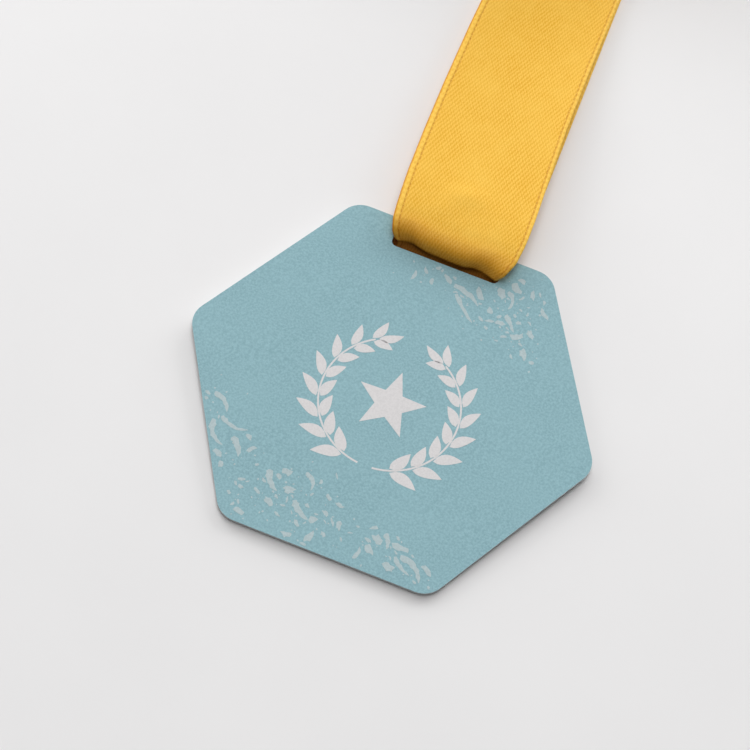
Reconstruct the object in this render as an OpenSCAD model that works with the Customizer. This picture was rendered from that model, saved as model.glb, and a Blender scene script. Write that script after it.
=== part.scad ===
// Finisher medal: a printed hexagonal sheet-metal plate on a neck ribbon, lying on a table.
// The ribbon is one sewn loop. It is threaded through the slot round the plate's rim bar, its two
// runs lie on each other, and the length beyond the view is rolled up with the neck fold inside.
// Millimetres, +Z up, table at z = 0, X along the slot, +Y from the plate towards the roll.

/* [Medal plate] */
// Width of the plate across two opposite flats
flats_w = 67; // [56:1:90]
// Radius of the six rounded corners
corner_r = 4.5; // [2:0.5:8]
// Thickness of the metal sheet
sheet_t = 0.9; // [0.6:0.1:1.5]
// Thickness of the printed coat on the face
print_t = 0.1; // [0.05:0.05:0.2]

/* [Ribbon slot] */
// Length of the slot, along the flat above it
slot_len = 21; // [17:0.5:25]
// Width of the slot, across the ribbon's path
slot_w = 3.4; // [3:0.2:5]
// Radius of the slot's corners
slot_r = 1; // [0.4:0.1:1.2]
// Depth of the rim bar between the slot and the flat
bar_depth = 2.4; // [1.6:0.1:3]

/* [Ribbon] */
// Width of the ribbon
ribbon_w = 25; // [22:0.5:30]
// Thickness of the ribbon
ribbon_t = 0.5; // [0.35:0.05:0.7]
// Length of the whole sewn loop
loop_len = 850; // [720:10:1000]
// Length over which the ribbon spreads from the slot to its full width
flare_len = 6; // [4:0.5:12]
// Distance from the rim bar over which the front run keeps its height
level_len = 4; // [2:1:20]
// Length over which the front run then sinks onto the rear run
sink_len = 60; // [30:1:75]

/* [Put-away roll] */
// Distance from the rim bar to the middle of the roll
roll_reach = 108; // [100:1:140]
// Turns of doubled ribbon in the roll
roll_turns = 5; // [4:1:6]
// Clear gap between neighbouring layers of ribbon
layer_gap = 0.45; // [0.42:0.01:0.6]

/* [Sewn lap] */
// Length of a stitch
stitch_len = 2; // [1:0.5:4]
// Gap between stitches in a row
stitch_gap = 0.8; // [0.4:0.1:2]
// Width of the sewing thread
thread_w = 0.4; // [0.2:0.1:0.6]
// Height of a stitch above the ribbon
thread_h = 0.2; // [0.1:0.05:0.3]
// Distance from the ribbon's edge to the first stitch
stitch_margin = 2; // [1:0.5:4]

/* [Clearances] */
// Gap between the ribbon and the rim bar's corners as the ribbon swings
bar_clear = 0.2; // [0.1:0.05:0.4]
// Gap between the ribbon's edges and the slot's ends
slot_end_clear = 0.6; // [0.4:0.1:1.2]
// Gap between the ribbon's turn and the slot's wall opposite the rim bar
turn_clear = 1; // [0.4:0.1:1.4]
// Length past the plate's thickness that the ribbon stays narrow, for the swing
narrow_clear = 0.5; // [0.3:0.1:1]

/* [Hidden] */

$fn = 96;
eps = 0.01;
turn_steps = 12;
fold_steps = 8;
sink_steps = 8;
flare_steps = 6;
lap_steps = 10;
stitched_steps = [2, 7];

plate_color = "#9a9d9e";
print_color = "#8fb0b6";
ribbon_color = "#e9b43c";
ribbon_back_color = "#d6a232";
thread_color = "#c8922a";

// Plate, in its own frame: middle of the back at the origin, slot towards +Y
medal_t = sheet_t + print_t;
apothem = flats_w / 2;
corner_reach = (apothem - corner_r) / cos(30);
slot_top = apothem - bar_depth;
slot_mid = slot_top - slot_w / 2;

// The ribbon's turn round the rim bar clears the bar's corners at every swing
bar_half_diagonal = norm([bar_depth, medal_t]) / 2;
turn_in_r = bar_half_diagonal + bar_clear;
turn_out_r = turn_in_r + ribbon_t;
turn_shift = bar_depth / 2 + slot_w - turn_clear - turn_out_r;
neck_w = min(ribbon_w, slot_len - 2 * slot_end_clear);
narrow_len = medal_t / 2 + narrow_clear;

// The plate leans on its bottom edge and on the ribbon under the rim bar
bar_lever = flats_w - bar_depth / 2;
lean = asin(turn_out_r / norm([bar_lever, medal_t / 2])) - atan(medal_t / 2 / bar_lever);
bar_from_edge = bar_lever * cos(lean) - medal_t / 2 * sin(lean);

// Layers of the doubled ribbon
layer_pitch = ribbon_t + layer_gap;
front_lift = layer_pitch;
front_drop = turn_out_r + turn_in_r - front_lift;
sink_angle = 2 * atan(front_drop / sink_len);
sink_r = sink_len / (2 * sin(sink_angle));
stack_mid = (layer_pitch + ribbon_t) / 2;

// Roll of half turns, each smaller than the one outside it by a layer
half_turns = 2 * roll_turns;
turn_run = 2 * turn_shift + PI * (turn_in_r + ribbon_t / 2);
sink_extra = 2 * sink_r * sink_angle * PI / 180 - sink_len;
fold_run = PI * layer_pitch / 2;
rolled_len = (loop_len - 2 * roll_reach - turn_run - sink_extra - fold_run) / 2;
roll_core_r = rolled_len / (PI * half_turns) - (half_turns - 1) * layer_pitch / 2;
roll_r = roll_core_r + (half_turns - 1) * layer_pitch;

// Rows of stitches across the lap, on the flats of the innermost half turn
lap_in_r = roll_core_r - stack_mid - ribbon_t;
step_angle = 180 / turn_steps;
stitch_pitch = stitch_len + stitch_gap;
stitch_count = floor((ribbon_w - 2 * stitch_margin + stitch_gap) / stitch_pitch);

// Origin under the middle of the whole object
bottom_y = -(bar_from_edge + roll_reach + roll_r + stack_mid - medal_t * sin(lean)) / 2;
bar_y = bottom_y + bar_from_edge;
bar_z = turn_out_r;
roll_y = bar_y + roll_reach;

function dir(a) = [cos(a), sin(a)];
function arc(centre, r, from, to, steps) =
    [for (i = [0:steps]) centre + r * dir(from + (to - from) * i / steps)];
function reversed(list) = [for (i = [len(list) - 1:-1:0]) list[i]];

function half_turn_r(k) = roll_r - k * layer_pitch;
function half_turn_centre(k) = [roll_y, stack_mid + roll_r + (k % 2) * layer_pitch];
function half_turn_start(k) = 180 * k - 90;

// Line that follows the roll inwards, set off towards its middle
function spiral(inset) = [
    for (k = [0:half_turns - 1])
        for (j = [0:turn_steps - (k < half_turns - 1 ? 1 : 0)])
            half_turn_centre(k)
                + (half_turn_r(k) - inset) * dir(half_turn_start(k) + 180 * j / turn_steps)
];
fold_centre = half_turn_centre(half_turns - 1)
    + half_turn_r(half_turns - 1) * dir(half_turn_start(half_turns));
fold_heading = half_turn_start(half_turns) + 90;
function fold(r) = arc(fold_centre, r, fold_heading + 90, fold_heading - 90, fold_steps);

// One side of the doubled, folded ribbon, from the front layer round the fold to the rear layer
function folded_side(half_gap) = concat(
    spiral(half_gap),
    [for (i = [1:fold_steps - 1]) fold(half_gap)[i]],
    reversed(spiral(-half_gap))
);

// Line along the inside of the innermost half turn, back from the fold
function lap_side(r) = let (k = half_turns - 1, end = half_turn_start(k) + 180)
    arc(half_turn_centre(k), r, end, end - lap_steps * step_angle, lap_steps);

// Upper or lower side of the front run, which stays level and then sinks onto the rear run
function front_side(offset) = let (
    y0 = bar_y + level_len,
    z0 = bar_z + turn_in_r + ribbon_t / 2
) concat(
    [[bar_y, z0 + offset]],
    arc([y0, z0 - sink_r], sink_r + offset, 90, 90 - sink_angle, sink_steps),
    arc(
        [y0 + sink_len, front_lift + ribbon_t / 2 + sink_r],
        sink_r - offset, 270 - sink_angle, 270, sink_steps
    ),
    [[roll_y, front_lift + ribbon_t / 2 + offset]]
);

// Outline of a flat run seen from above, narrow in the slot and spreading past it
function flare(side) = [
    for (i = [0:flare_steps])
        let (u = i / flare_steps)
            [
                side * (neck_w + (ribbon_w - neck_w) * (1 - cos(180 * u)) / 2) / 2,
                bar_y + narrow_len + u * flare_len
            ]
];

// Least gap between layers that lie side by side in the roll, measured on points
roll_line = folded_side(layer_pitch / 2);
roll_gap = min([
    for (i = [0:len(roll_line) - 1])
        for (j = [i + fold_steps:len(roll_line) - 1])
            norm(roll_line[i] - roll_line[j])
]) - ribbon_t;
echo(least_gap_in_roll = roll_gap, rolled_length = rolled_len, roll_diameter = 2 * (roll_r + stack_mid));
echo(joint_y = bar_y, joint_z = bar_z, lean = lean, bottom_y = bottom_y, roll_y = roll_y, core_r = roll_core_r);

module plate_outline() {
    corners = [for (a = [0:60:300]) corner_reach * dir(a)];
    polygon([
        for (i = [0:5])
            for (turn = [-30, 30])
                corners[i] + corner_r * dir(60 * i + turn)
    ]);
    for (c = corners) translate(c) circle(corner_r);
}

module slot_outline() {
    translate([0, slot_mid]) {
        square([slot_len - 2 * slot_r, slot_w], center = true);
        square([slot_len, slot_w - 2 * slot_r], center = true);
        for (x = [-1, 1], y = [-1, 1])
            translate([x * (slot_len / 2 - slot_r), y * (slot_w / 2 - slot_r)]) circle(slot_r);
    }
}

// A layer of the medal, from its lower to its upper height
module medal_layer(low, high) {
    translate([0, 0, low]) linear_extrude(high - low) plate_outline();
}

module slot_cut() {
    translate([0, 0, -eps]) linear_extrude(medal_t + 2 * eps) slot_outline();
}

// Lays the medal on its bottom edge, leaning on the ribbon under its rim bar
module lay_on_table() {
    translate([0, bottom_y, 0]) rotate([lean, 0, 0]) translate([0, apothem, 0]) children();
}

// Extrudes a profile drawn in Y and Z along X, centred
module along_x(width) {
    rotate([90, 0, 90]) linear_extrude(width, center = true) children();
}

// Keeps what lies within the ribbon's outline seen from above
module within_flare() {
    intersection() {
        children();
        linear_extrude(bar_z + turn_out_r + 1)
            polygon(concat(
                [[neck_w / 2, bar_y]],
                flare(1),
                [[ribbon_w / 2, roll_y], [-ribbon_w / 2, roll_y]],
                reversed(flare(-1)),
                [[-neck_w / 2, bar_y]]
            ));
    }
}

module plate() {
    color(plate_color) lay_on_table() difference() {
        medal_layer(0, sheet_t);
        slot_cut();
    }
}

module printed_face() {
    color(print_color) lay_on_table() difference() {
        medal_layer(sheet_t, medal_t);
        slot_cut();
    }
}

module ribbon_slot_turn() {
    color(ribbon_color) along_x(neck_w) translate([bar_y, bar_z]) {
        intersection() {
            translate([-turn_shift, 0]) difference() {
                circle(turn_out_r);
                circle(turn_in_r);
            }
            translate([-turn_shift - turn_out_r - 1, -turn_out_r - 1])
                square([turn_out_r + 1, 2 * turn_out_r + 2]);
        }
        for (z = [turn_in_r, -turn_out_r]) translate([-turn_shift, z]) square([turn_shift, ribbon_t]);
    }
}

module ribbon_front_run() {
    color(ribbon_color) within_flare() along_x(ribbon_w + 1)
        polygon(concat(front_side(ribbon_t / 2), reversed(front_side(-ribbon_t / 2))));
}

module ribbon_rear_run() {
    color(ribbon_back_color) within_flare() along_x(ribbon_w + 1)
        translate([bar_y, 0]) square([roll_reach, ribbon_t]);
}

module ribbon_roll() {
    color(ribbon_color) along_x(ribbon_w) polygon(concat(
        folded_side(stack_mid), reversed(folded_side(layer_gap / 2))
    ));
}

// The ribbon's end, lapped over the inside of the other end at the neck fold
module ribbon_lap() {
    color(ribbon_back_color) along_x(ribbon_w)
        polygon(concat(lap_side(lap_in_r + ribbon_t), reversed(lap_side(lap_in_r))));
}

module seam_stitches() {
    k = half_turns - 1;
    end = half_turn_start(k) + 180;
    flat_r = lap_in_r * cos(step_angle / 2);
    color(thread_color) for (step = stitched_steps, i = [0:stitch_count - 1])
        translate([0, half_turn_centre(k)[0], half_turn_centre(k)[1]])
            rotate([end - (step + 0.5) * step_angle, 0, 0])
                translate([(i - (stitch_count - 1) / 2) * stitch_pitch, flat_r - thread_h / 2, 0])
                    cube([stitch_len, thread_h, thread_w], center = true);
}

plate();
printed_face();
ribbon_slot_turn();
ribbon_front_run();
ribbon_rear_run();
ribbon_roll();
ribbon_lap();
seam_stitches();
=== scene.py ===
# Finisher medal on a table: printed hexagonal plate, satin ribbon through its slot, and the ribbon's roll.
import math
import random

import bpy
import numpy as np
from mathutils import Matrix, Vector


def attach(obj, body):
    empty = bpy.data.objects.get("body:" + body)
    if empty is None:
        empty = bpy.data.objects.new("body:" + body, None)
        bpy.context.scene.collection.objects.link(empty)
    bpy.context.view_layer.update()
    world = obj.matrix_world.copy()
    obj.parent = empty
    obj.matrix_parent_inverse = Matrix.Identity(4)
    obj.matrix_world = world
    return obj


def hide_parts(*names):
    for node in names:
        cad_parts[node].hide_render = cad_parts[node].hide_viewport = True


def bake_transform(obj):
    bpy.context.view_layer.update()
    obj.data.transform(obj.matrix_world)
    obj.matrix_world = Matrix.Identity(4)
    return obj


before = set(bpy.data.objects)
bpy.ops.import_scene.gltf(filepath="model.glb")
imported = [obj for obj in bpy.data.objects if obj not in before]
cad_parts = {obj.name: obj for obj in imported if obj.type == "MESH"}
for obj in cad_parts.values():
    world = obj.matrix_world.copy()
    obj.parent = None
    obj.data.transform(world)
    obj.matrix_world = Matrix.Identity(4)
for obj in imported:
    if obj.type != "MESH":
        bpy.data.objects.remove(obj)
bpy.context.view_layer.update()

MM = 0.001

# Sizes of the part, in millimetres, as in its source
FLATS_W = 67.0
CORNER_R = 4.5
SHEET_T = 0.9
PRINT_T = 0.1
MEDAL_T = SHEET_T + PRINT_T
SLOT_LEN = 21.0
SLOT_W = 3.4
BAR_DEPTH = 2.4
RIBBON_W = 25.0
RIBBON_T = 0.5
LOOP_LEN = 850.0
SINK_LEN = 60.0
ROLL_REACH = 108.0
ROLL_TURNS = 5
LAYER_GAP = 0.45
BAR_CLEAR = 0.2
TURN_CLEAR = 1.0
STITCH_LEN = 2.0
STITCH_GAP = 0.8
STITCH_MARGIN = 2.0
THREAD_H = 0.2

# Values that follow from them
APOTHEM = FLATS_W / 2
HALF_W = RIBBON_W / 2
TURN_IN_R = math.hypot(BAR_DEPTH, MEDAL_T) / 2 + BAR_CLEAR
TURN_OUT_R = TURN_IN_R + RIBBON_T
TURN_SHIFT = BAR_DEPTH / 2 + SLOT_W - TURN_CLEAR - TURN_OUT_R
BAR_LEVER = FLATS_W - BAR_DEPTH / 2
LEAN = math.asin(TURN_OUT_R / math.hypot(BAR_LEVER, MEDAL_T / 2)) - math.atan(MEDAL_T / 2 / BAR_LEVER)
BAR_FROM_EDGE = BAR_LEVER * math.cos(LEAN) - MEDAL_T / 2 * math.sin(LEAN)
PITCH = RIBBON_T + LAYER_GAP
FRONT_DROP = TURN_OUT_R + TURN_IN_R - PITCH
SINK_ANGLE = 2 * math.atan(FRONT_DROP / SINK_LEN)
SINK_R = SINK_LEN / (2 * math.sin(SINK_ANGLE))
STACK_MID = (PITCH + RIBBON_T) / 2
HALF_TURNS = 2 * ROLL_TURNS
TURN_RUN = 2 * TURN_SHIFT + math.pi * (TURN_IN_R + RIBBON_T / 2)
SINK_EXTRA = 2 * SINK_R * SINK_ANGLE - SINK_LEN
FOLD_RUN = math.pi * PITCH / 2
ROLLED_LEN = (LOOP_LEN - 2 * ROLL_REACH - TURN_RUN - SINK_EXTRA - FOLD_RUN) / 2
CORE_R = ROLLED_LEN / (math.pi * HALF_TURNS) - (HALF_TURNS - 1) * PITCH / 2
ROLL_R = CORE_R + (HALF_TURNS - 1) * PITCH
BOTTOM_Y = -(BAR_FROM_EDGE + ROLL_REACH + ROLL_R + STACK_MID - MEDAL_T * math.sin(LEAN)) / 2
BAR_Y = BOTTOM_Y + BAR_FROM_EDGE
BAR_Z = TURN_OUT_R
ROLL_Y = BAR_Y + ROLL_REACH

# Plate frame to world: X along the slot, Y towards it, Z out of the face, from the middle of the face
PLATE_TO_WORLD = (
    Matrix.Translation((0, BOTTOM_Y, 0))
    @ Matrix.Rotation(LEAN, 4, "X")
    @ Matrix.Translation((0, APOTHEM, MEDAL_T))
)


def on_plate(x, y, z=0.0):
    """A point of the plate frame in millimetres, as a world point in metres."""
    return (PLATE_TO_WORLD @ Vector((x, y, z))) * MM


def new_object(name, verts, faces):
    """A mesh object in the scene, from points in metres and faces."""
    mesh = bpy.data.meshes.new(name)
    mesh.from_pydata([tuple(v) for v in verts], [], faces)
    mesh.update()
    obj = bpy.data.objects.new(name, mesh)
    bpy.context.scene.collection.objects.link(obj)
    return obj


def smooth(t):
    """Eased step from 0 to 1."""
    t = np.clip(t, 0.0, 1.0)
    return t * t * (3 - 2 * t)


def bell(x, middle, width):
    """Bell curve of height 1."""
    return np.exp(-(((x - middle) / width) ** 2))


def polar(radius, degrees):
    """Point at a distance and an angle from the origin."""
    a = math.radians(degrees)
    return radius * math.cos(a), radius * math.sin(a)


# Materials


class Nodes:
    """A material's node tree, with short calls to add and join nodes."""

    def __init__(self, name):
        self.material = bpy.data.materials.new(name)
        self.material.use_nodes = True
        self.tree = self.material.node_tree
        self.bsdf = self.tree.nodes["Principled BSDF"]

    def add(self, kind, **settings):
        node = self.tree.nodes.new("ShaderNode" + kind)
        for key, value in settings.items():
            setattr(node, key, value)
        return node

    def feed(self, socket, value):
        if isinstance(value, bpy.types.NodeSocket):
            self.tree.links.new(value, socket)
        else:
            socket.default_value = value

    def math(self, operation, *values):
        node = self.add("Math", operation=operation)
        for socket, value in zip(node.inputs, values):
            self.feed(socket, value)
        return node.outputs[0]

    def times(self, a, b):
        return self.math("MULTIPLY", a, b)

    def total(self, first, *rest):
        for value in rest:
            first = self.math("ADD", first, value)
        return first

    def bell(self, value, middle, width):
        off = self.math("DIVIDE", self.math("SUBTRACT", value, middle), width)
        return self.math("EXPONENT", self.times(self.times(off, off), -1.0))

    def span(self, value, low, high, to_low=0.0, to_high=1.0):
        """Eased change from one value to another, as the input goes from low to high."""
        node = self.add("MapRange", interpolation_type="SMOOTHSTEP")
        for key, x in (("Value", value), ("From Min", low), ("From Max", high)):
            self.feed(node.inputs[key], x)
        node.inputs["To Min"].default_value = to_low
        node.inputs["To Max"].default_value = to_high
        return node.outputs["Result"]

    def fall(self, value, low, high):
        return self.span(value, low, high, 1.0, 0.0)

    def strip(self, value, rise, fall):
        """1 between a rise and a fall, each from one value to another, and 0 outside them."""
        return self.times(self.span(value, *rise), self.fall(value, *fall))

    def mix(self, factor, a, b, blend="MIX"):
        node = self.add("Mix", data_type="RGBA", blend_type=blend)
        colours = [s for s in node.inputs if s.type == "RGBA"]
        self.feed(node.inputs["Factor"], factor)
        for socket, value in zip(colours, (a, b)):
            self.feed(socket, value if isinstance(value, bpy.types.NodeSocket) else (*value, 1.0))
        return next(s for s in node.outputs if s.type == "RGBA")

    def noise(self, vector, scale, detail=3.0, roughness=0.5):
        node = self.add("TexNoise")
        self.feed(node.inputs["Vector"], vector)
        node.inputs["Scale"].default_value = scale
        node.inputs["Detail"].default_value = detail
        node.inputs["Roughness"].default_value = roughness
        return node.outputs["Fac"]

    def waver(self, vector, scale, size, detail=2.0):
        """Noise about zero."""
        return self.times(self.math("SUBTRACT", self.noise(vector, scale, detail), 0.5), size)

    def place(self, scale=(1.0, 1.0, 1.0)):
        coords = self.add("TexCoord").outputs["Object"]
        node = self.add("Mapping")
        self.feed(node.inputs["Vector"], coords)
        node.inputs["Scale"].default_value = scale
        return node.outputs["Vector"]

    def bump(self, height, distance, strength=1.0):
        node = self.add("Bump")
        self.feed(node.inputs["Height"], height)
        node.inputs["Distance"].default_value = distance
        node.inputs["Strength"].default_value = strength
        self.feed(self.bsdf.inputs["Normal"], node.outputs["Normal"])

    def colour(self, value):
        self.feed(self.bsdf.inputs["Base Color"], value)

    def roughness(self, value):
        self.feed(self.bsdf.inputs["Roughness"], value)

    def set(self, **values):
        for key, value in values.items():
            self.bsdf.inputs[key.replace("_", " ")].default_value = value


# Parts of a noise's range over which a material changes
NOISE_WIDE = (0.2, 0.8)
NOISE_MID = (0.25, 0.75)
NOISE_NARROW = (0.3, 0.7)

# Print: colours, and the share by which the grain lightens and darkens each channel
TEAL = (0.243, 0.425, 0.474)
TEAL_GRAIN = (0.19, 0.155, 0.138)
PALE = (0.668, 0.650, 0.652)
PALE_GRAIN = (0.06, 0.06, 0.06)
FLECK = (0.420, 0.520, 0.538)
FLECK_GRAIN = (0.10, 0.09, 0.09)
GRAIN_SCALE = 2600.0
CLOUD_SCALE = 90.0
CLOUD_SHARE = 0.25
PRINT_ROUGHNESS = (0.50, 0.64)
PRINT_SPECULAR = 0.35
PRINT_RELIEF = 0.00002


def print_material(name, colour, spread):
    """Satin print on metal: a base colour with a fine grain and a faint cloudiness."""
    n = Nodes(name)
    place = n.place()
    grain = n.noise(place, GRAIN_SCALE, detail=4.0, roughness=0.65)
    cloud = n.noise(place, CLOUD_SCALE, detail=2.0)
    dark = tuple(c * (1 - s) for c, s in zip(colour, spread))
    light = tuple(c * (1 + s) for c, s in zip(colour, spread))
    grained = n.mix(n.span(grain, *NOISE_NARROW), dark, light)
    n.colour(n.mix(n.span(cloud, *NOISE_MID, to_high=CLOUD_SHARE), grained, light))
    n.roughness(n.span(grain, *NOISE_WIDE, *PRINT_ROUGHNESS))
    n.set(Specular_IOR_Level=PRINT_SPECULAR)
    n.bump(grain, PRINT_RELIEF, strength=0.5)
    return n.material


# Bare metal: noise scales and the dark and light tones of the brushed back and of the cut wall,
# which are told apart by how upright the surface is
BRUSH_SCALE = (60.0, 9000.0, 9000.0)
CUT_SCALE = (2600.0, 2600.0, 120.0)
BACK_TONES = ((0.46, 0.47, 0.47), (0.66, 0.67, 0.67))
WALL_TONES = ((0.45, 0.455, 0.455), (0.61, 0.62, 0.62))
METAL_ROUGHNESS = (0.34, 0.52)
METAL_SHARE = 0.85
UPRIGHT_TO = 0.5
FLAT_FROM = 0.8
METAL_RELIEF = 0.00003


def metal_material(name):
    """Bare sheet: brushed along X on its back, with the cut's upright lines on its wall."""
    n = Nodes(name)
    brushed = n.noise(n.place(BRUSH_SCALE), 1.0, detail=4.0, roughness=0.6)
    cut = n.noise(n.place(CUT_SCALE), 1.0, detail=3.0, roughness=0.6)
    split = n.add("SeparateXYZ")
    n.feed(split.inputs[0], n.add("NewGeometry").outputs["Normal"])
    flat = n.span(n.math("ABSOLUTE", split.outputs["Z"]), UPRIGHT_TO, FLAT_FROM)
    upright = n.math("SUBTRACT", 1.0, flat)
    lines = n.total(n.times(brushed, flat), n.times(cut, upright))
    shade = n.span(lines, *NOISE_MID)
    n.colour(n.mix(flat, n.mix(shade, *WALL_TONES), n.mix(shade, *BACK_TONES)))
    n.roughness(n.span(lines, *NOISE_WIDE, *METAL_ROUGHNESS))
    n.set(Metallic=METAL_SHARE)
    n.bump(lines, METAL_RELIEF, strength=0.5)
    return n.material


# Satin colours
SATIN_DEEP = (0.725, 0.347, 0.004)
SATIN_BRIGHT = (0.900, 0.554, 0.073)
SATIN_PALE = (0.950, 0.590, 0.085)
SATIN_ORANGE = (0.560, 0.225, 0.008)
SATIN_ROUGHNESS = (0.60, 0.46)
SATIN_SPECULAR = 0.22
SATIN_RELIEF = 0.00004

# Weave: lines to a millimetre across and along, and strength, of the twill and of two threads in it
WEAVE_LINES = ((1.42, -0.578, 0.94), (1.565, 0.774, 0.47), (2.042, 1.285, 0.42))
WEAVE_REACH = 2.2
# Unevenness of the weave: noise scale and size
LINE_DRIFT = (0.35, 0.35)
LINE_JITTER = (1.6, 0.60)
FIBRE = (4.5, 4.6)
MOTTLE = (0.5, 1.4)
SATIN_CLOUD_SCALE = 0.12
SATIN_CLOUD_RANGE = (0.35, 0.75)
SATIN_CLOUD_SHARE = 0.3

# Edges of the ribbon, in millimetres from the edge: where each form starts and is whole, or fades and ends
RIM_SHADE_FALL = (0.08, 0.42)
CORD_RISE = (0.25, 0.5)
CORD_FALL = (0.95, 1.15)
EDGE_FALL = (1.0, 1.2)
GROOVE_RISE = (1.0, 1.22)
GROOVE_FALL = (1.3, 1.55)
# How much nearer the edge they run on the right, how far they wander, and the beads' length and sharpness
RIGHT_SHIFT = 0.45
EDGE_WANDER = 0.8
BEAD_WANDER = 2.0
BEAD_PITCH = 1.25
BEAD_REACH = 1.4
EDGE_RELIEF = 1.2
# How much of the edge's colours shows, between the beads and on them, and along the rim, whose orange is
# painted shade of the turned-down edge
CORD_SHARE = (0.35, 0.95)
GROOVE_RANGE = (-0.2, 1.2)
GROOVE_SHARE = (0.85, 0.2)
RIM_SHADE_SHARE = 0.85

# Painted shade of the satin where it is folded through the slot, in millimetres along the loop: a deeper,
# more orange tone for the fold's shade and the light bounced in it, then a much darker painted shade deep
# in the slot
FOLD_SHADE_FROM = 5.0
FOLD_SHADE_TO = 13.5
FOLD_SHADE_TINT = (1.0, 0.74, 0.62)
CREASE_SHADE_FROM = 4.8
CREASE_SHADE_TO = 6.4
CREASE_SHADE_TINT = (0.30, 0.27, 0.30)
# Places across where the buckles carry that painted shade further: middle, width and distance
FOLD_SHADE_SHIFTS = ((-8.0, 3.0, 0.9), (6.5, 2.2, 0.5))


def ribbon_map(n):
    """The ribbon's own map in millimetres: across from its middle, along it, and both as one vector."""
    uv = n.add("UVMap", uv_map="ribbon").outputs["UV"]
    split = n.add("SeparateXYZ")
    n.feed(split.inputs[0], uv)
    across = n.times(n.math("SUBTRACT", split.outputs["X"], 0.5), RIBBON_W)
    along = n.times(split.outputs["Y"], RIBBON_W)
    scaled = n.add("VectorMath", operation="SCALE")
    n.feed(scaled.inputs[0], uv)
    scaled.inputs["Scale"].default_value = RIBBON_W
    return across, along, scaled.outputs["Vector"]


def ribbon_material(name):
    """Woven satin: a fine twill, and at each edge a beaded line of sewing with a dark groove inside it;
    painted shade darkens the fold through the slot and the outer rim of the edges.
    """
    n = Nodes(name)
    across, along, place = ribbon_map(n)
    drift = n.waver(place, *LINE_DRIFT)
    wander = n.total(drift, n.waver(place, *LINE_JITTER))
    fibre = n.waver(place, *FIBRE, detail=3.0)
    mottle = n.waver(place, *MOTTLE)

    def lines(per_mm_across, per_mm_along, strength):
        phase = n.total(n.times(across, per_mm_across), n.times(along, per_mm_along), wander)
        return n.times(n.math("SINE", n.times(phase, 2 * math.pi)), strength)

    threads = [lines(*row) for row in WEAVE_LINES]
    weave = n.span(n.total(*threads, fibre, mottle), -WEAVE_REACH, WEAVE_REACH)

    inset = n.math("SUBTRACT", HALF_W, n.math("ABSOLUTE", across))
    on_right = n.math("GREATER_THAN", across, 0.0)
    inset = n.total(inset, n.times(on_right, RIGHT_SHIFT), n.times(drift, EDGE_WANDER))
    cord = n.strip(inset, CORD_RISE, CORD_FALL)
    groove = n.strip(inset, GROOVE_RISE, GROOVE_FALL)
    rim = n.fall(inset, *RIM_SHADE_FALL)
    edge = n.fall(inset, *EDGE_FALL)
    beads = n.times(n.total(along, n.times(drift, BEAD_WANDER)), 2 * math.pi / BEAD_PITCH)
    bead = n.span(n.total(n.math("SINE", beads), fibre), -BEAD_REACH, BEAD_REACH)

    cloud = n.noise(place, SATIN_CLOUD_SCALE, detail=2.0)
    body = n.mix(weave, SATIN_DEEP, SATIN_BRIGHT)
    cloudy = n.mix(n.span(cloud, *SATIN_CLOUD_RANGE, to_high=SATIN_CLOUD_SHARE), body, SATIN_BRIGHT)
    on_cord = n.times(cord, n.span(bead, 0.0, 1.0, *CORD_SHARE))
    corded = n.mix(on_cord, cloudy, SATIN_PALE)
    in_groove = n.times(groove, n.span(n.total(fibre, bead), *GROOVE_RANGE, *GROOVE_SHARE))
    lined = n.mix(in_groove, corded, SATIN_ORANGE)
    # Painted shade along the outer rim, where the edge turns down
    rim_shaded = n.mix(n.times(rim, RIM_SHADE_SHARE), lined, SATIN_ORANGE)

    # Painted shade: a deeper, more orange tone in the fold and a dark tone deep in the slot, multiplied
    # into the colour and carried further where the buckles are
    shade_shifts = [n.times(n.bell(across, middle, width), size) for middle, width, size in FOLD_SHADE_SHIFTS]
    past = n.math("SUBTRACT", along, n.total(*shade_shifts))
    fold_shaded = n.mix(n.fall(past, FOLD_SHADE_FROM, FOLD_SHADE_TO), rim_shaded, FOLD_SHADE_TINT, "MULTIPLY")
    n.colour(n.mix(n.fall(past, CREASE_SHADE_FROM, CREASE_SHADE_TO), fold_shaded, CREASE_SHADE_TINT, "MULTIPLY"))

    woven = n.times(weave, n.math("SUBTRACT", 1.0, edge))
    beaded = n.times(n.times(bead, cord), EDGE_RELIEF)
    relief = n.math("SUBTRACT", n.total(woven, beaded), n.times(groove, EDGE_RELIEF))
    n.roughness(n.span(weave, 0.0, 1.0, *SATIN_ROUGHNESS))
    n.set(Specular_IOR_Level=SATIN_SPECULAR)
    n.bump(relief, SATIN_RELIEF, strength=0.55)
    return n.material


# Thread and table top: noise scale, dark and light tone, and finish
THREAD_SCALE = (2400.0, 900.0, 900.0)
THREAD_TONES = ((0.50, 0.22, 0.02), (0.86, 0.47, 0.06))
THREAD_ROUGHNESS = (0.7, 0.5)
THREAD_RELIEF = 0.00004
TABLE_SCALE = 26.0
TABLE_TONES = ((0.820, 0.812, 0.813), (0.834, 0.826, 0.827))
TABLE_ROUGHNESS = (0.62, 0.7)
TABLE_SPECULAR = 0.08


def thread_material(name):
    """Twisted sewing thread, with its strands running round it."""
    n = Nodes(name)
    twist = n.noise(n.place(THREAD_SCALE), 1.0, detail=3.0, roughness=0.6)
    n.colour(n.mix(n.span(twist, *NOISE_NARROW), *THREAD_TONES))
    n.roughness(n.span(twist, *NOISE_WIDE, *THREAD_ROUGHNESS))
    n.bump(twist, THREAD_RELIEF, strength=0.7)
    return n.material


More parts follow.
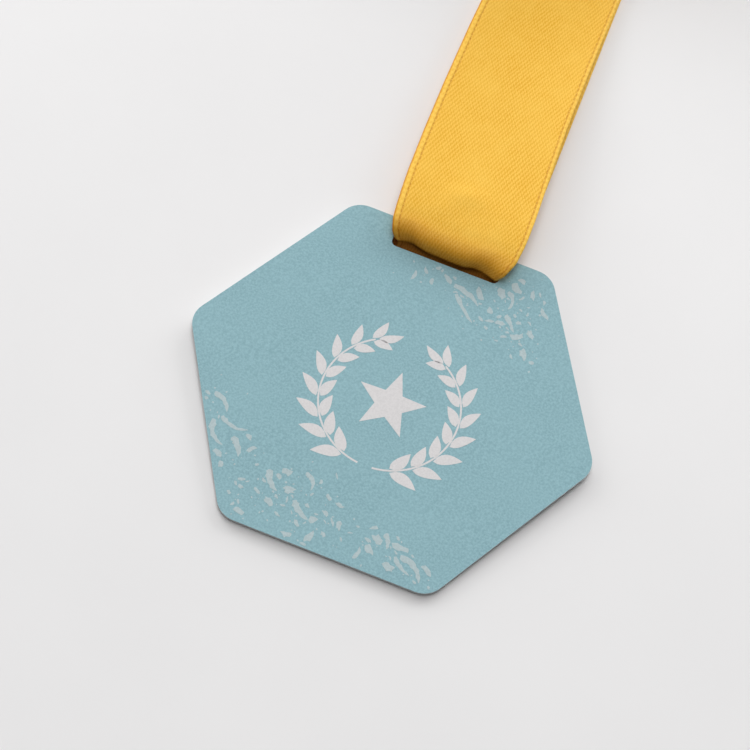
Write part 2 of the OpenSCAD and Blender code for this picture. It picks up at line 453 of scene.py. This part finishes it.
def table_material(name):
    """Matt pale table top with a barely visible mottle."""
    n = Nodes(name)
    mottle = n.noise(n.place(), TABLE_SCALE, detail=4.0)
    n.colour(n.mix(n.span(mottle, *NOISE_NARROW), *TABLE_TONES))
    n.roughness(n.span(mottle, *NOISE_WIDE, *TABLE_ROUGHNESS))
    n.set(Specular_IOR_Level=TABLE_SPECULAR)
    return n.material


teal_print = print_material("teal_print", TEAL, TEAL_GRAIN)
pale_print = print_material("pale_print", PALE, PALE_GRAIN)
fleck_print = print_material("fleck_print", FLECK, FLECK_GRAIN)
bare_metal = metal_material("bare_metal")
ribbon_weave = ribbon_material("ribbon_weave")
thread_twist = thread_material("thread_twist")


def dress(node, material):
    """Gives a CAD node a better material."""
    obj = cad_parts[node]
    for slot in obj.material_slots:
        slot.material = material
    if not obj.material_slots:
        obj.data.materials.append(material)


dress("plate", bare_metal)
dress("printed_face", teal_print)


# Ribbon: one closed loop, from the slot along the front run, into the roll, round the neck fold and back

# Steps of the mesh: in half a turn of the roll, in the neck fold, and between two points of the slot turn
ROLL_STEPS = 16
FOLD_STEPS = 8
TURN_STEPS = 4


def dir2(degrees):
    """Unit vector of an angle."""
    return np.array(polar(1.0, degrees))


def half_turn_r(k):
    return ROLL_R - k * PITCH


def half_turn_centre(k):
    return np.array([ROLL_Y, STACK_MID + ROLL_R + (k % 2) * PITCH])


def half_turn_start(k):
    return 180 * k - 90


def spiral(inset):
    """Points of one layer of the roll, from its outside to its core."""
    points = []
    for k in range(HALF_TURNS):
        for j in range(ROLL_STEPS):
            turn = half_turn_start(k) + 180 * j / ROLL_STEPS
            points.append(half_turn_centre(k) + (half_turn_r(k) - inset) * dir2(turn))
    last = HALF_TURNS - 1
    points.append(half_turn_centre(last) + (half_turn_r(last) - inset) * dir2(half_turn_start(last) + 180))
    return points


def neck_fold():
    """Points of the fold that joins the two layers in the core, without its ends."""
    last = HALF_TURNS - 1
    end = half_turn_start(HALF_TURNS)
    centre = half_turn_centre(last) + half_turn_r(last) * dir2(end)
    return [centre + PITCH / 2 * dir2(end + 180 - 180 * i / FOLD_STEPS) for i in range(1, FOLD_STEPS)]


# Turn through the slot, from the rear run to the front run: distance from the rim bar, height over it,
# the ribbon's left and right edge, and how much of the buckles' shift it has there
TURN = (
    (0.0, -1.75, -11.8, 11.8, 0.0),
    (-1.6, -1.75, -11.4, 11.6, 0.0),
    (-2.9, -1.74, -10.7, 11.2, 0.0),
    (-3.70, -1.60, -10.1, 10.9, 0.0),
    (-3.95, -1.27, -9.8, 10.6, 0.0),
    (-3.75, -0.93, -9.7, 10.3, 0.0),
    (-3.40, -0.60, -9.65, 10.05, 0.1),
    (-3.18, -0.20, -9.65, 10.0, 0.35),
    (-3.15, 0.15, -9.7, 10.0, 0.6),
    (-3.25, 0.50, -9.85, 10.05, 0.8),
    (-3.32, 0.85, -10.2, 10.3, 0.9),
    (-2.95, 1.95, -10.9, 11.1, 0.95),
    (-2.42, 2.60, -11.25, 11.55, 0.95),
    (-1.72, 3.00, -11.5, 11.9, 0.85),
    (-0.92, 3.24, -11.75, 12.25, 0.65),
    (0.0, 3.38, -11.9, 12.5, 0.4),
    (2.17, 3.50, -12.15, 12.7, 0.15),
)
CREST_S, CREST_H = TURN[-1][:2]
CREST_BUCKLED = TURN[-1][-1]

# Front run: distance from the rim bar, left edge and right edge
FRONT = np.array((
    (CREST_S, -12.15, 12.75), (5.0, -12.4, 12.85), (10.0, -12.75, 12.8), (20.0, -13.1, 12.4),
    (32.0, -13.3, 12.0), (48.0, -13.25, 12.0), (75.0, -12.6, 12.4), (ROLL_REACH, -HALF_W, HALF_W),
))
# Rear run, in the same way
REAR = np.array((
    (0.0, -11.8, 11.8), (3.0, -12.2, 12.2), (8.0, -HALF_W, HALF_W), (ROLL_REACH, -HALF_W, HALF_W),
))

# Fall of the front run from its crest: slope, distance over which it starts, and softness of its end
FRONT_SLOPE = 0.075
FRONT_EASE = 7.0
FRONT_SETTLE = 0.35

# Distances between the rows of the mesh: fine near the slot, coarse beyond
FINE_STEP = 0.8
COARSE_STEP = 1.6
FIRST_STEP = 0.7
FRONT_FINE_TO = 24.0
REAR_FINE_TO = 8.0
REAR_ENDS = 0.5

# Buckles where the ribbon narrows: middle and width across the ribbon, from -1 to 1, and shift along it,
# with a pull at its right corner, and the distance over which they fade out
LEFT_TROUGH = (-0.72, 0.22, 0.85)
RIGHT_TROUGH = (0.60, 0.15, 0.60)
BULGE = (0.2, 0.25, -0.20)
BUCKLE_BACK = 0.1
CORNER_FROM = 0.78
CORNER_PULL = 0.55
BUCKLE_FADE = 4.0

# Slanting ridge beside the slot: height, half width, a point of its crest line and the line's slant,
# and the distances over which it starts and ends
RIDGE_H = 0.15
RIDGE_HALF_W = 1.5
RIDGE_X = -8.6
RIDGE_FROM = -3.3
RIDGE_SLANT = 0.6
RIDGE_EASE = 2.5
RIDGE_TO = 8.0
RIDGE_FADE = 4.0

# Soft swelling past the slot: height, and its middle and half sizes along and across
SWELL_H = 0.24
SWELL_ALONG = (9.2, 2.0)
SWELL_ACROSS = (-0.4, 2.2)

# Slight waves of the front run: height, radians to a millimetre along and across, and their start and end
WAVE_H = 0.03
WAVE_ALONG = 0.21
WAVE_ACROSS = 0.16
WAVE_FROM = 3.0
WAVE_EASE = 6.0
WAVE_FADE = 12.0

# Places across the ribbon, from -1 to 1, close together at its sewn edges
ACROSS = np.array([
    -1.0, -0.985, -0.955, -0.925, -0.900, -0.875, -0.82, -0.68, -0.52, -0.35, -0.18, 0.0,
    0.18, 0.35, 0.52, 0.68, 0.82, 0.875, 0.900, 0.925, 0.955, 0.985, 1.0,
])

# Profile of the ribbon: place across from its middle, and half thickness
HALF_PROFILE = np.array((
    (0.0, 0.225), (0.87, 0.225), (0.90, 0.205), (0.925, 0.25), (0.955, 0.25), (0.985, 0.20), (1.0, 0.10),
))


def half_thickness(a):
    """Half of the ribbon's thickness at a place across it, from -1 to 1."""
    return np.interp(abs(a), HALF_PROFILE[:, 0], HALF_PROFILE[:, 1])


def curve_through(points, steps):
    """Catmull-Rom curve through points, with that many steps between each two."""
    p = np.array(points, float)
    p = np.vstack([2 * p[0] - p[1], p, 2 * p[-1] - p[-2]])
    out = []
    for i in range(1, len(p) - 2):
        a, b, c, d = p[i - 1:i + 3]
        for j in range(steps):
            t = j / steps
            slope = (c - a) * t
            bend = (2 * a - 5 * b + 4 * c - d) * t**2
            turn = (3 * b - a - 3 * c + d) * t**3
            out.append(0.5 * (2 * b + slope + bend + turn))
    out.append(p[-2])
    return np.array(out)


def buckle(a):
    """Shift along the ribbon of the soft buckles that its narrowing makes, at a place across it."""
    shift = -BUCKLE_BACK - CORNER_PULL * smooth((a - CORNER_FROM) / (1 - CORNER_FROM))
    for middle, width, size in (LEFT_TROUGH, RIGHT_TROUGH, BULGE):
        shift = shift + size * bell(a, middle, width)
    return shift


def front_height(s):
    """Height of the front run's middle over the table, at a distance from the rim bar."""
    low = PITCH + RIBBON_T / 2
    past = np.maximum(s - CREST_S, 0.0)
    fall = FRONT_SLOPE * np.where(past < FRONT_EASE, past**2 / (2 * FRONT_EASE), past - FRONT_EASE / 2)
    over = (BAR_Z + CREST_H - fall - low) / FRONT_SETTLE
    return low + FRONT_SETTLE * np.logaddexp(0.0, over)


def front_lift(s, x):
    """Lift of the front run's cloth by its ridge, swelling and waves, at places across it."""
    ridge = RIDGE_H * bell(x, RIDGE_X + RIDGE_SLANT * (s - RIDGE_FROM), RIDGE_HALF_W)
    ridge *= smooth((s - CREST_S) / RIDGE_EASE) * (1 - smooth((s - RIDGE_TO) / RIDGE_FADE))
    swell = SWELL_H * bell(s, *SWELL_ALONG) * bell(x, *SWELL_ACROSS)
    wave = WAVE_H * np.sin(WAVE_ALONG * s + WAVE_ACROSS * x)
    wave *= smooth((s - WAVE_FROM) / WAVE_EASE) * smooth((ROLL_REACH - s) / WAVE_FADE)
    return ridge + swell + wave


def edges_at(s, table):
    """Left and right edge at a distance from the rim bar."""
    return np.interp(s, table[:, 0], table[:, 1]), np.interp(s, table[:, 0], table[:, 2])


def ribbon_row(left_x, right_x, y, z):
    """One point for every place across the ribbon, between two edges."""
    x = left_x + (right_x - left_x) * (ACROSS + 1) / 2
    return np.stack([x, np.broadcast_to(y, x.shape), np.broadcast_to(z, x.shape)], axis=1)


def ribbon_rows():
    """Middle surface of the loop, row by row: slot turn, front run, roll and rear run."""
    rows = []
    shift = buckle(ACROSS)
    for s, z, left_x, right_x, part in curve_through(TURN, TURN_STEPS):
        rows.append(ribbon_row(left_x, right_x, BAR_Y + s + part * shift, BAR_Z + z))

    fine = np.arange(CREST_S + FIRST_STEP, FRONT_FINE_TO, FINE_STEP)
    coarse = np.arange(FRONT_FINE_TO, ROLL_REACH, COARSE_STEP)
    for s in np.concatenate([fine, coarse]):
        left_x, right_x = edges_at(s, FRONT)
        part = CREST_BUCKLED * (1 - smooth((s - CREST_S) / BUCKLE_FADE))
        x = (left_x + right_x) / 2 + (right_x - left_x) / 2 * ACROSS
        z = front_height(s) + front_lift(s, x)
        rows.append(ribbon_row(left_x, right_x, BAR_Y + s + part * shift, z))

    for y, z in spiral(PITCH / 2) + neck_fold() + spiral(-PITCH / 2)[::-1]:
        rows.append(ribbon_row(-HALF_W, HALF_W, y, z))

    coarse = np.arange(ROLL_REACH - COARSE_STEP, REAR_FINE_TO, -COARSE_STEP)
    fine = np.arange(REAR_FINE_TO, REAR_ENDS, -FINE_STEP)
    for s in np.concatenate([coarse, fine]):
        rows.append(ribbon_row(*edges_at(s, REAR), BAR_Y + s, RIBBON_T / 2))
    return np.array(rows)


def band(name, rows, closed, start=0.0):
    """A ribbon of real thickness on a middle surface, mapped in its own widths from a start in mm."""
    count, wide = rows.shape[:2]
    if closed:
        along = np.roll(rows, -1, axis=0) - np.roll(rows, 1, axis=0)
        step = np.linalg.norm(np.roll(rows, -1, axis=0) - rows, axis=2)[:, wide // 2]
    else:
        along = np.gradient(rows, axis=0)
        step = np.append(np.linalg.norm(np.diff(rows, axis=0), axis=2)[:, wide // 2], 0.0)
    normal = np.cross(np.gradient(rows, axis=1), along)
    normal /= np.linalg.norm(normal, axis=2, keepdims=True)
    half = half_thickness(ACROSS)[None, :, None]
    ring = np.concatenate([rows + half * normal, (rows - half * normal)[:, ::-1]], axis=1)
    size = ring.shape[1]
    mid = start + np.concatenate([[0.0], np.cumsum(step)])
    place = np.concatenate([ACROSS, ACROSS[::-1]]) / 2 + 0.5
    faces, uvs = [], []
    for i in range(count if closed else count - 1):
        j = (i + 1) % count
        for k in range(size):
            m = (k + 1) % size
            faces.append((i * size + k, i * size + m, j * size + m, j * size + k))
            low, high = mid[i] / RIBBON_W, mid[i + 1] / RIBBON_W
            uvs += [(place[k], low), (place[m], low), (place[m], high), (place[k], high)]
    if not closed:
        for i, flipped in ((0, True), (count - 1, False)):
            for k in range(wide - 1):
                quad = [i * size + k, i * size + k + 1, i * size + size - 2 - k, i * size + size - 1 - k]
                if flipped:
                    quad.reverse()
                faces.append(tuple(quad))
                uvs += [(place[q % size], mid[i] / RIBBON_W) for q in quad]
    obj = new_object(name, ring.reshape(-1, 3) * MM, faces)
    layer = obj.data.uv_layers.new(name="ribbon")
    layer.data.foreach_set("uv", np.array(uvs, np.float32).ravel())
    obj.data.polygons.foreach_set("use_smooth", [True] * len(faces))
    return obj


ribbon = band("neck_ribbon", ribbon_rows(), closed=True)
ribbon.data.materials.append(ribbon_weave)
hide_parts("ribbon_slot_turn", "ribbon_front_run", "ribbon_rear_run", "ribbon_roll")
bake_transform(ribbon)


# Sewn lap at the neck fold, with its two rows of stitches

# Facets of the lap in the solids, and the ones that carry a row of stitches
FACET_ANGLE = 15.0
LAP_FACETS = 10
STITCHED_FACETS = (2, 7)
LAP_ARC = LAP_FACETS * FACET_ANGLE
LAP_STEPS = 20
LAP_IN_R = CORE_R - STACK_MID - RIBBON_T
last_turn = HALF_TURNS - 1
core_centre = half_turn_centre(last_turn)
core_end = half_turn_start(last_turn) + 180


def lap_rows():
    """Middle surface of the lap, inside the innermost half turn of the roll."""
    rows = []
    for i in range(LAP_STEPS + 1):
        y, z = core_centre + (LAP_IN_R + RIBBON_T / 2) * dir2(core_end - LAP_ARC * i / LAP_STEPS)
        rows.append(ribbon_row(-HALF_W, HALF_W, y, z))
    return np.array(rows)


lap = band("sewn_lap", lap_rows(), closed=False, start=LOOP_LEN / 2)
lap.data.materials.append(ribbon_weave)
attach(lap, "ribbon")
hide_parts("ribbon_lap")

# Thread: radius, its share at a stitch's ends, how flat it lies, and how deep its foot and its ends sit
THREAD_R = 0.2
END_SHARE = 0.55
THREAD_FLATNESS = 0.6
FOOT_SINK = 0.02
END_SINK = 0.08
CREST_SINK = 0.06
THREAD_SIDES = 8
THREAD_STEPS = 10


def stitch_mesh(verts, faces, centre_x, turn):
    """One stitch: a thread that comes out of the lap, lies along it and goes back in."""
    out = dir2(turn)
    flank = np.array([-out[1], out[0]])
    base = core_centre + (LAP_IN_R * math.cos(math.radians(FACET_ANGLE / 2)) - FOOT_SINK) * out
    first = len(verts)
    for i in range(THREAD_STEPS + 1):
        t = i / THREAD_STEPS
        arch = math.sin(math.pi * t) ** 0.5
        rise = (THREAD_H - CREST_SINK) * arch - END_SINK
        r = THREAD_R * (END_SHARE + (1 - END_SHARE) * arch)
        for k in range(THREAD_SIDES):
            side, up = polar(r, 360 * k / THREAD_SIDES)
            y, z = base + flank * side - out * (rise + THREAD_FLATNESS * up)
            verts.append(((centre_x + STITCH_LEN * (t - 0.5)) * MM, y * MM, z * MM))
    for i in range(THREAD_STEPS):
        for k in range(THREAD_SIDES):
            m = (k + 1) % THREAD_SIDES
            a = first + i * THREAD_SIDES
            b = a + THREAD_SIDES
            faces.append((a + k, b + k, b + m, a + m))
    faces.append(tuple(first + k for k in range(THREAD_SIDES)))
    end = first + THREAD_STEPS * THREAD_SIDES
    faces.append(tuple(end + k for k in reversed(range(THREAD_SIDES))))


def sew():
    """All the stitches of the lap, as one mesh."""
    verts, faces = [], []
    pitch = STITCH_LEN + STITCH_GAP
    count = int((RIBBON_W - 2 * STITCH_MARGIN + STITCH_GAP) // pitch)
    for facet in STITCHED_FACETS:
        turn = core_end - (facet + 0.5) * FACET_ANGLE
        for i in range(count):
            stitch_mesh(verts, faces, (i - (count - 1) / 2) * pitch, turn)
    obj = new_object("lap_stitches", verts, faces)
    obj.data.polygons.foreach_set("use_smooth", [True] * len(faces))
    return obj


stitches = sew()
stitches.data.materials.append(thread_twist)
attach(stitches, "ribbon")
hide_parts("seam_stitches")


# Print on the face: a wreath and star of plain shapes, and seeded flecks towards three sides

# Thickness of the print over the coat, and how far it goes into it
PRINT_TOP = 0.014
PRINT_FOOT = 0.004


def print_piece(name, outlines, material):
    """Thin printed islands on the face, from closed outlines in the plate frame."""
    verts, faces = [], []
    for outline in outlines:
        n = len(outline)
        first = len(verts)
        for z in (-PRINT_FOOT, PRINT_TOP):
            verts += [on_plate(x, y, z) for x, y in outline]
        faces.append(tuple(first + i for i in reversed(range(n))))
        faces.append(tuple(first + n + i for i in range(n)))
        for i in range(n):
            j = (i + 1) % n
            faces.append((first + i, first + j, first + n + j, first + n + i))
    obj = new_object(name, verts, faces)
    obj.data.materials.append(material)
    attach(obj, "medal")
    return obj


def turned(points, degrees, x=0.0, y=0.0):
    """Points turned about the origin, then moved."""
    c, s = polar(1.0, degrees)
    return [(x + px * c - py * s, y + px * s + py * c) for px, py in points]


def mirrored(points):
    """Outline mirrored left to right."""
    return [(-x, y) for x, y in reversed(points)]


# Leaf: steps along it, bow as a share of its length, and powers that set where it is widest and how full
LEAF_STEPS = 7
LEAF_BOW = 0.07
LEAF_FOOT = 0.8
LEAF_FULL = 0.9


def leaf(length, width):
    """Pointed leaf along +X from the origin, with a slight curve."""
    upper, lower = [], []
    for i in range(LEAF_STEPS + 1):
        t = i / LEAF_STEPS
        tip = i in (0, LEAF_STEPS)
        half = 0.0 if tip else width / 2 * math.sin(math.pi * t**LEAF_FOOT) ** LEAF_FULL
        bow = LEAF_BOW * length * math.sin(math.pi * t)
        upper.append((length * t, bow + half))
        if not tip:
            lower.append((length * t, bow - half))
    return lower + upper[::-1]


STAR_POINTS = 5
STAR_R = 6.6
STAR_IN_R = 2.75


def star():
    """Star with one point up."""
    step = 180 / STAR_POINTS
    return [polar(STAR_IN_R if i % 2 else STAR_R, 90 + step * i) for i in range(2 * STAR_POINTS)]


# Wreath, in millimetres and degrees: its right branch, pairs of leaves that grow smaller towards the top,
# the leaf at its tip, and its stem
WREATH_R = 12.8
WREATH_FROM = -80.0
WREATH_TO = 56.0
LEAF_PAIRS = 8
FIRST_LEAF = 10.0
LEAF_LEN = 5.6
LEAF_LEN_LOSS = 1.2
LEAF_W = 2.1
LEAF_W_LOSS = 0.45
OUTER_TILT = 34.0
INNER_TILT = 38.0
INNER_LEN_SHARE = 0.86
LEAF_STANDOFF = 0.03
TIP_LEAF = (4.6, 1.6)
TIP_PAST = 5.0
STEM_HALF = 0.17
STEM_TAIL = 4.0
STEM_PAST = 2.0
STEM_STEPS = 30


def wreath():
    """Two laurel branches, each a stem with pairs of leaves and one leaf at its tip."""
    branch = []
    first = WREATH_FROM + FIRST_LEAF
    for i in range(LEAF_PAIRS):
        t = i / (LEAF_PAIRS - 1)
        a = first + (WREATH_TO - first) * t
        length = LEAF_LEN - LEAF_LEN_LOSS * t
        width = LEAF_W - LEAF_W_LOSS * t
        outer = leaf(length, width)
        inner = mirrored(turned(leaf(length * INNER_LEN_SHARE, width), 180))
        branch.append(turned(outer, a + 90 - OUTER_TILT, *polar(WREATH_R * (1 + LEAF_STANDOFF), a)))
        branch.append(turned(inner, a + 90 + INNER_TILT, *polar(WREATH_R * (1 - LEAF_STANDOFF), a)))
    tip = WREATH_TO + TIP_PAST
    branch.append(turned(leaf(*TIP_LEAF), tip + 90, *polar(WREATH_R, tip)))
    arc = np.linspace(WREATH_FROM - STEM_TAIL, WREATH_TO + STEM_PAST, STEM_STEPS + 1)
    outside = [polar(WREATH_R + STEM_HALF, a) for a in arc]
    inside_back = [polar(WREATH_R - STEM_HALF, a) for a in arc[::-1]]
    branch.append(outside + inside_back)
    return branch + [mirrored(p) for p in branch]


EMBLEM_X = 0.6
EMBLEM_Y = -2.4
emblem_shapes = [turned(p, 0, EMBLEM_X, EMBLEM_Y) for p in wreath() + [star()]]
print_piece("printed_emblem", emblem_shapes, pale_print)


SIDES = 6
SIDE_TURN = 360 / SIDES


def within_face(points, margin):
    """Is every point on the face, inside the rounded outline and clear of the slot?"""
    reach = (APOTHEM - CORNER_R) / math.cos(math.radians(SIDE_TURN / 2))
    slot_low = APOTHEM - BAR_DEPTH - SLOT_W - margin
    for x, y in points:
        for i in range(SIDES):
            side_x, side_y = polar(1.0, SIDE_TURN * (i + 0.5))
            if x * side_x + y * side_y > APOTHEM - margin:
                return False
            corner_x, corner_y = polar(1.0, SIDE_TURN * i)
            from_corner = math.hypot(x - reach * corner_x, y - reach * corner_y)
            if x * corner_x + y * corner_y > reach and from_corner > CORNER_R - margin:
                return False
        if y > slot_low and abs(x) < SLOT_LEN / 2 + margin:
            return False
    return True


# Outline of a scrap: ranges of its corners, bend, unevenness and roughness
SCRAP_CORNERS = (9, 13)
SCRAP_BEND = (-0.5, 0.5)
SCRAP_UNEVEN = (-0.25, 0.25)
SCRAP_ROUGH = (0.5, 1.0)

# Outline of a brush mark: steps, range of its roughness, how much it thins, and its blunt start and tail
MARK_STEPS = 11
MARK_ROUGH = (0.6, 1.2)
MARK_THINS = 0.6
MARK_BLUNT = 4
MARK_START = 0.5
MARK_TAIL = 0.3


def scrap(rng, length, width):
    """Torn scrap: an uneven outline round a slightly bent middle line."""
    n = rng.randint(*SCRAP_CORNERS)
    bend = rng.uniform(*SCRAP_BEND)
    points = []
    for i in range(n):
        a = 2 * math.pi * (i + rng.uniform(*SCRAP_UNEVEN)) / n
        r = rng.uniform(*SCRAP_ROUGH)
        x = length / 2 * r * math.cos(a)
        points.append((x, width / 2 * r * math.sin(a) + bend * x * x / length))
    return points


def brush_mark(rng, length, width, bend):
    """Rough stroke that starts broad, bends and runs out."""
    upper, lower = [], []
    for i in range(MARK_STEPS + 1):
        t = i / MARK_STEPS
        start = min(1.0, MARK_BLUNT * t + MARK_START)
        tail = min(1.0, MARK_BLUNT * (1 - t) + MARK_TAIL)
        taper = (1 - MARK_THINS * t) * start * tail
        a = bend * (t - 0.5)
        x = length * math.sin(a) / bend
        y = length * (1 - math.cos(a)) / bend
        above = width / 2 * taper * rng.uniform(*MARK_ROUGH)
        below = width / 2 * taper * rng.uniform(*MARK_ROUGH)
        upper.append((x - above * math.sin(a), y + above * math.cos(a)))
        lower.append((x + below * math.sin(a), y - below * math.cos(a)))
    return lower + upper[::-1]


def dense(points):
    """Points along a closed outline, four to a side."""
    a = np.array(points)
    b = np.roll(a, -1, axis=0)
    return np.concatenate([a + (b - a) * t for t in (0.0, 0.25, 0.5, 0.75)])


def inside(point, points):
    """Does a point lie in a closed outline?"""
    x, y = point
    odd = False
    for (ax, ay), (bx, by) in zip(points, points[1:] + points[:1]):
        if (ay > y) != (by > y) and x < ax + (y - ay) * (bx - ax) / (by - ay):
            odd = not odd
    return odd


# Splashes of print: middle, spread along and across, tilt, and how many brush marks, scraps and specks
SPLASHES = (
    (15.0, 24.2, 4.2, 2.6, -58.0, 7, 42, 22),
    (17.2, 18.4, 3.2, 1.9, -62.0, 3, 20, 12),
    (6.2, 23.4, 4.2, 2.0, -18.0, 3, 14, 12),
    (9.8, 19.6, 3.2, 1.6, -15.0, 2, 6, 8),
    (-2.2, 24.4, 3.4, 1.8, 0.0, 2, 12, 10),
    (18.6, 28.6, 2.2, 1.6, -50.0, 1, 7, 6),
    (-22.6, -20.6, 4.2, 2.6, -28.0, 5, 14, 12),
    (-28.2, -14.6, 3.4, 2.0, -62.0, 3, 9, 8),
    (-14.4, -23.6, 3.6, 2.0, -15.0, 3, 16, 12),
    (-8.8, -26.6, 3.6, 2.4, -24.0, 6, 25, 16),
    (-6.6, -30.4, 3.4, 1.6, -8.0, 2, 12, 8),
    (-4.6, -22.4, 2.8, 1.8, -15.0, 1, 8, 8),
    (-17.6, -28.2, 4.0, 2.0, -58.0, 2, 12, 10),
    (-0.4, -27.4, 3.0, 2.0, 0.0, 0, 8, 6),
    (11.4, -29.6, 3.2, 2.2, -30.0, 7, 20, 12),
    (15.6, -31.2, 2.2, 1.2, -10.0, 2, 7, 6),
    (5.6, -28.0, 3.4, 2.4, 0.0, 0, 6, 5),
)
FLECK_SEED = 2718
# Least distances between two flecks, and from a fleck to the face's outline and slot
FLECK_GAP = 0.1
EDGE_MARGIN = 0.15

# Brush marks, scraps and specks: ranges of their lengths and widths, and of a mark's bend in radians,
# middle and spread of their tilt in degrees, and how far they scatter for the size of their splash.
# A scrap's length grows from its least by a ratio, its width and a speck's width are shares of the length,
# and a speck's tilt is a range.
MARK_LEN = (2.8, 6.4)
MARK_W = (1.0, 1.8)
MARK_BEND = (0.2, 1.9)
MARK_TILT = (-40, 25)
MARK_SCATTER = 0.6
SCRAP_LEN = 0.9
SCRAP_LEN_RATIO = 4.2
SCRAP_W_SHARE = (0.28, 0.68)
SCRAP_TILT = (-24, 35)
SCRAP_SCATTER = 0.75
SPECK_LEN = (0.25, 0.6)
SPECK_W_SHARE = (0.5, 0.9)
SPECK_TILT = (-90, 90)
SPECK_SCATTER = 1.0


def scattered(rng, splash, spread):
    """Random place in a splash."""
    x, y, along, across, tilt = splash[:5]
    return turned([(rng.gauss(0, spread) * along, rng.gauss(0, spread) * across)], tilt, x, y)[0]


def flecks():
    """Outlines of all the flecks, each kept where it lies on the face and clear of those before it."""
    rng = random.Random(FLECK_SEED)
    made = []

    def keep(points):
        if not within_face(points, EDGE_MARGIN):
            return
        edge = dense(points)
        middle = edge.mean(axis=0)
        reach = np.linalg.norm(edge - middle, axis=1).max()
        for other, other_edge, other_middle, other_reach in made:
            if np.linalg.norm(middle - other_middle) > reach + other_reach + FLECK_GAP:
                continue
            gaps = np.linalg.norm(edge[:, None] - other_edge[None], axis=2)
            if gaps.min() < FLECK_GAP or inside(points[0], other) or inside(other[0], points):
                return
        made.append((points, edge, middle, reach))

    for splash in SPLASHES:
        marks, scraps, specks = splash[5:]
        for i in range(marks):
            bend = rng.choice((-1, 1)) * rng.uniform(*MARK_BEND)
            mark = brush_mark(rng, rng.uniform(*MARK_LEN), rng.uniform(*MARK_W), bend)
            keep(turned(mark, rng.gauss(*MARK_TILT), *scattered(rng, splash, MARK_SCATTER)))
        for i in range(scraps):
            length = SCRAP_LEN * SCRAP_LEN_RATIO ** rng.random()
            mark = scrap(rng, length, length * rng.uniform(*SCRAP_W_SHARE))
            keep(turned(mark, rng.gauss(*SCRAP_TILT), *scattered(rng, splash, SCRAP_SCATTER)))
        for i in range(specks):
            size = rng.uniform(*SPECK_LEN)
            mark = scrap(rng, size, size * rng.uniform(*SPECK_W_SHARE))
            keep(turned(mark, rng.uniform(*SPECK_TILT), *scattered(rng, splash, SPECK_SCATTER)))
    return [points for points, edge, middle, reach in made]


print_piece("printed_flecks", flecks(), fleck_print)


# Table, light and camera

# Half side of the table and its gap to the medal, in metres
FLOOR_HALF = 1.6
FLOOR_DROP = 0.00002
floor = new_object(
    "table",
    [(x * FLOOR_HALF, y * FLOOR_HALF, -FLOOR_DROP) for x, y in ((-1, -1), (1, -1), (1, 1), (-1, 1))],
    [(0, 1, 2, 3)],
)
floor.data.materials.append(table_material("table_top"))

# Softboxes: azimuth, elevation, half width and half height in degrees as seen from the plate, and watts
SOFTBOXES = {
    "overhead": (105.0, 88.0, 13.0, 9.0, 6.2),
    "top": (105.0, 64.0, 13.0, 16.0, 5.8),
    "middle": (108.0, 33.0, 25.0, 14.0, 10.6),
    "low_left": (145.0, 14.0, 20.0, 12.0, 13.0),
    "low_right": (70.0, 14.0, 20.0, 12.0, 17.0),
    "side": (190.0, 28.0, 20.0, 15.0, 2.6),
}
# Distance of the softboxes from the plate in metres, and strength of the even light of the room
BOX_DISTANCE = 1.6
ROOM_LIGHT = 0.08

aim = on_plate(0, 0)
for name, (azimuth, elevation, half_w, half_h, power) in SOFTBOXES.items():
    level, height = polar(1.0, elevation)
    towards = Vector((*polar(level, azimuth), height))
    lamp = bpy.data.lights.new(name, "AREA")
    lamp.shape = "RECTANGLE"
    lamp.size = 2 * BOX_DISTANCE * math.tan(math.radians(half_w))
    lamp.size_y = 2 * BOX_DISTANCE * math.tan(math.radians(half_h))
    lamp.energy = power
    box = bpy.data.objects.new(name, lamp)
    bpy.context.scene.collection.objects.link(box)
    box.location = aim + towards * BOX_DISTANCE
    box.rotation_euler = (-towards).to_track_quat("-Z", "Y").to_euler()

world = bpy.data.worlds.new("studio")
world.use_nodes = True
bpy.context.scene.world = world
room = world.node_tree.nodes["Background"].inputs
room["Color"].default_value = (1.0, 1.0, 1.0, 1.0)
room["Strength"].default_value = ROOM_LIGHT

# Camera in the plate frame: place in millimetres, the way it looks and the image's downward direction
CAMERA_AT = (16.931, -148.673, 327.979)
CAMERA_LOOKS = Vector((-0.05737, 0.41632, -0.90741))
CAMERA_DOWN = Vector((0.3607, -0.83886, -0.40768))
# Lens and sensor in millimetres, and the nearest distance it sees in metres
CAMERA_LENS = 97.03
CAMERA_SENSOR = 36.0
CAMERA_NEAR = 0.02

plate_turn = PLATE_TO_WORLD.to_3x3()
looks = (plate_turn @ CAMERA_LOOKS).normalized()
down = (plate_turn @ CAMERA_DOWN).normalized()
right = down.cross(looks).normalized()
up = right.cross(looks)
data = bpy.data.cameras.new("camera")
data.lens = CAMERA_LENS
data.sensor_width = CAMERA_SENSOR
data.clip_start = CAMERA_NEAR
camera = bpy.data.objects.new("camera", data)
bpy.context.scene.collection.objects.link(camera)
pose = Matrix((right, up, -looks)).transposed().to_4x4()
pose.translation = on_plate(*CAMERA_AT)
camera.matrix_world = pose
bpy.context.scene.camera = camera

bpy.context.scene.view_settings.view_transform = "Standard"
